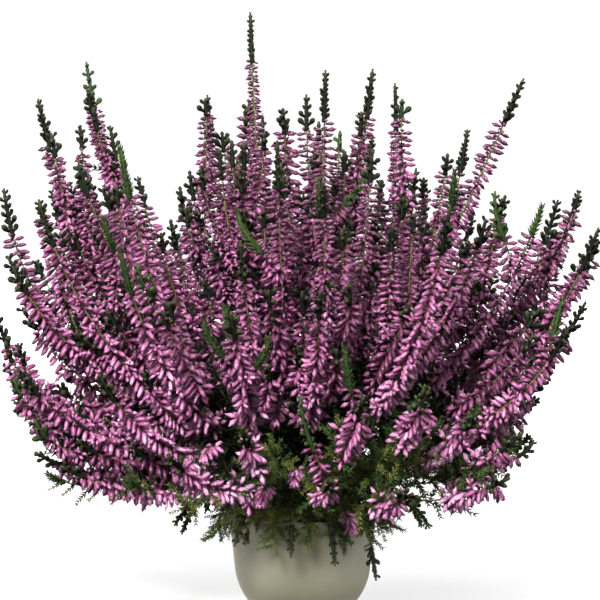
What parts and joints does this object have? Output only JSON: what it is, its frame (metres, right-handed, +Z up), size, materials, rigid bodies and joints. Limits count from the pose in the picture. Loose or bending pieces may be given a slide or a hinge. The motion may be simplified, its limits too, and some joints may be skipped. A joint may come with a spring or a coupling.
{
  "type": "potted heather",
  "caption": "Bushy flowering heather in a small round pot: upright and spreading spikes of closed mauve-pink buds with dark green leafy tips over a mass of fine green shoots.",
  "frame": {"origin": "centre of the pot's underside, on the surface that the pot stands on", "axes": "+Z up along the pot's axis, -Y towards the plant's front as pictured, +X to the right in that view"},
  "size_m": [0.2983, 0.269, 0.3],
  "materials": {
    "pot_taupe": "matte",
    "peat": "matte",
    "flowering_spray": "matte",
    "leafy_shoot": "matte"
  },
  "bodies": {
    "root": {"pot": "pot_taupe", "shoot_01": "leafy_shoot", "shoot_02": "leafy_shoot", "shoot_03": "leafy_shoot", "shoot_04": "leafy_shoot", "shoot_05": "leafy_shoot", "shoot_06": "leafy_shoot", "shoot_07": "leafy_shoot", "shoot_08": "leafy_shoot", "shoot_09": "leafy_shoot", "shoot_10": "leafy_shoot", "shoot_11": "leafy_shoot", "shoot_12": "leafy_shoot", "soil": "peat", "spray_01": "flowering_spray", "spray_02": "flowering_spray", "spray_03": "flowering_spray", "spray_04": "flowering_spray", "spray_05": "flowering_spray", "spray_06": "flowering_spray", "spray_07": "flowering_spray", "spray_08": "flowering_spray", "spray_09": "flowering_spray", "spray_10": "flowering_spray", "spray_11": "flowering_spray", "spray_12": "flowering_spray", "spray_13": "flowering_spray", "spray_14": "flowering_spray", "spray_15": "flowering_spray", "spray_16": "flowering_spray", "spray_17": "flowering_spray", "spray_18": "flowering_spray", "spray_19": "flowering_spray", "spray_20": "flowering_spray", "spray_21": "flowering_spray", "spray_22": "flowering_spray", "spray_23": "flowering_spray", "spray_24": "flowering_spray", "spray_25": "flowering_spray", "spray_26": "flowering_spray", "spray_27": "flowering_spray", "spray_28": "flowering_spray", "spray_29": "flowering_spray", "spray_30": "flowering_spray", "spray_31": "flowering_spray", "spray_32": "flowering_spray", "spray_33": "flowering_spray", "spray_34": "flowering_spray", "spray_35": "flowering_spray", "spray_36": "flowering_spray", "spray_37": "flowering_spray", "spray_38": "flowering_spray", "spray_39": "flowering_spray", "spray_40": "flowering_spray", "spray_41": "flowering_spray", "spray_42": "flowering_spray", "spray_43": "flowering_spray", "spray_44": "flowering_spray", "spray_45": "flowering_spray"}
  },
  "joints": []
}
